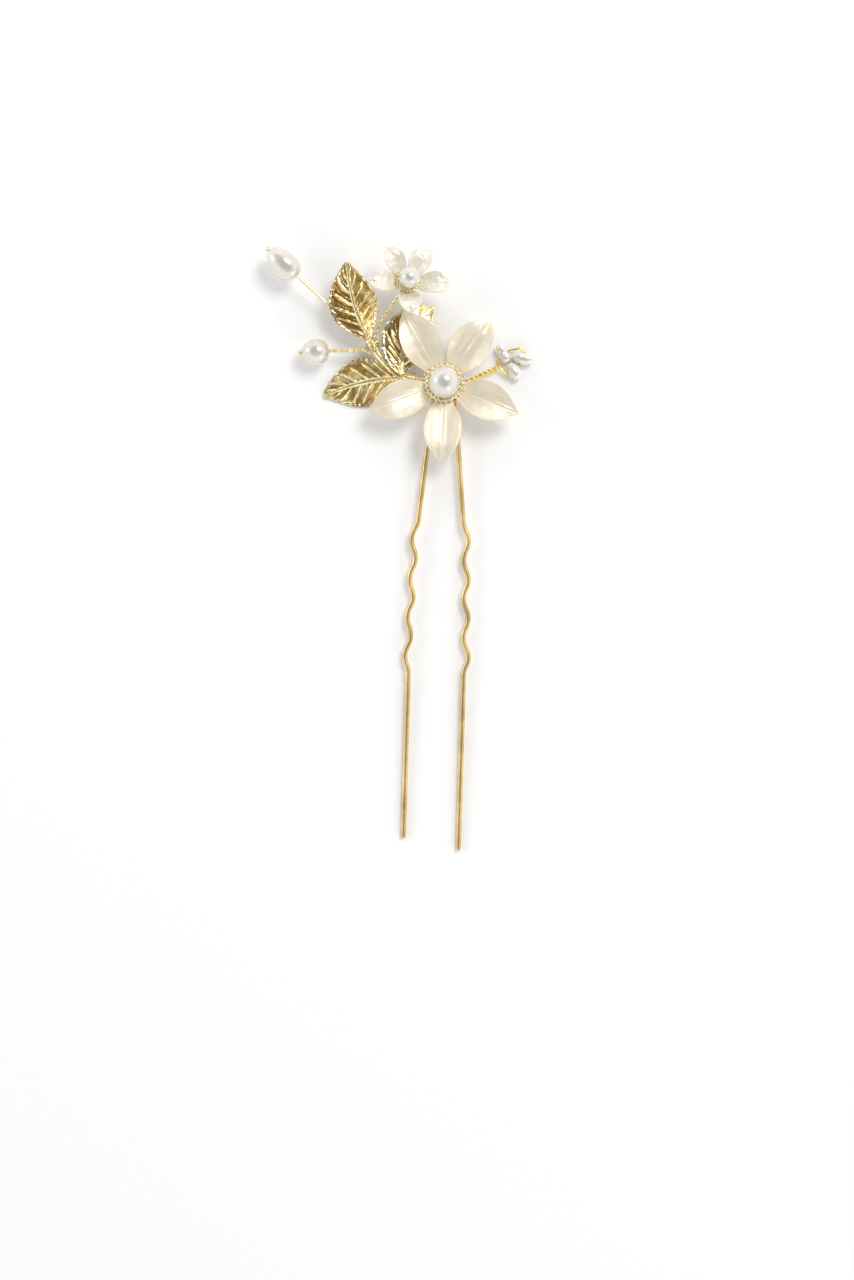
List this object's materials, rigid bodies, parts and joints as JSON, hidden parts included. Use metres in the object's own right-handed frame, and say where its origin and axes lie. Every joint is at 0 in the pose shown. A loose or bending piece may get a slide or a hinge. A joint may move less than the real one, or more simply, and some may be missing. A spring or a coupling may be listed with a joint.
{
  "type": "decorative hair pin",
  "caption": "Two-legged crimped wire hair pin carrying a wired spray of enamelled flowers, embossed leaves and pearls.",
  "frame": {"origin": "centre of the pin's U bend, on the wire's middle line plane", "axes": "+Y from the tips towards the spray, +Z the side that shows, +X to the right seen from +Z"},
  "size_m": [0.0515, 0.1136, 0.0124],
  "materials": {
    "pin_wire": "satin",
    "gold_wire": "polished",
    "leaf": "polished",
    "petal": "satin pearlescent",
    "pearl": "pearl lustre"
  },
  "bodies": {
    "spray_and_bend": {"pin_bend": "pin_wire", "bend_binding": "gold_wire", "large_flower_petals": "petal", "large_flower_collar": "gold_wire", "large_flower_pearl": "pearl", "large_flower_stem": "gold_wire", "small_flower_petals": "petal", "small_flower_cup": "gold_wire", "small_flower_pearl": "pearl", "small_flower_stem": "gold_wire", "oval_pearl_stem": "gold_wire", "round_pearl_stem": "gold_wire", "junction_binding": "gold_wire", "leaf_binding": "gold_wire", "upper_leaf": "leaf", "upper_leaf_stem": "gold_wire", "lower_leaf": "leaf", "lower_leaf_stem": "gold_wire", "rear_leaf": "leaf", "rear_leaf_stem": "gold_wire", "sprig_wire": "gold_wire"},
    "left_leg": {"left_leg": "pin_wire"},
    "right_leg": {"right_leg": "pin_wire"},
    "oval_pearl": {"oval_pearl": "pearl"},
    "round_pearl": {"round_pearl": "pearl"},
    "sprig_upper_pearl": {"sprig_upper_pearl": "pearl"},
    "sprig_right_pearl": {"sprig_right_pearl": "pearl"},
    "sprig_lower_pearl": {"sprig_lower_pearl": "pearl"}
  },
  "joints": [
    {"name": "left_leg_flex", "type": "hinge", "parent": "spray_and_bend", "child": "left_leg", "pos_m": [-0.00218, -0.00227, -0.00005], "axis": [0, -0.0201, 0.9998], "range_deg": [-6, 2.5], "stiffness_Nm_per_rad": 0.18},
    {"name": "right_leg_flex", "type": "hinge", "parent": "spray_and_bend", "child": "right_leg", "pos_m": [0.00218, -0.00227, -0.00005], "axis": [0, -0.0201, 0.9998], "range_deg": [-2.5, 6], "stiffness_Nm_per_rad": 0.18},
    {"name": "oval_pearl_spin", "type": "hinge", "parent": "spray_and_bend", "child": "oval_pearl", "pos_m": [-0.03124, 0.02368, 0.00273], "axis": [-0.7589, 0.6487, 0.0568], "continuous": true},
    {"name": "round_pearl_spin", "type": "hinge", "parent": "spray_and_bend", "child": "round_pearl", "pos_m": [-0.0247, 0.0073, 0.0016], "axis": [-0.9969, -0.0734, 0.0268], "continuous": true},
    {"name": "sprig_upper_pearl_swivel", "type": "hinge", "parent": "spray_and_bend", "child": "sprig_upper_pearl", "pos_m": [0.01105, 0.00805, -0.00095], "axis": [0.7883, 0.6153, 0], "range_deg": [-20, 20]},
    {"name": "sprig_right_pearl_swivel", "type": "hinge", "parent": "spray_and_bend", "child": "sprig_right_pearl", "pos_m": [0.01468, 0.00748, -0.00095], "axis": [-0.4027, -0.9153, 0], "range_deg": [-20, 20]},
    {"name": "sprig_lower_pearl_swivel", "type": "hinge", "parent": "spray_and_bend", "child": "sprig_lower_pearl", "pos_m": [0.01299, 0.00512, -0.00095], "axis": [-0.7316, -0.6817, 0], "range_deg": [-20, 20]}
  ]
}
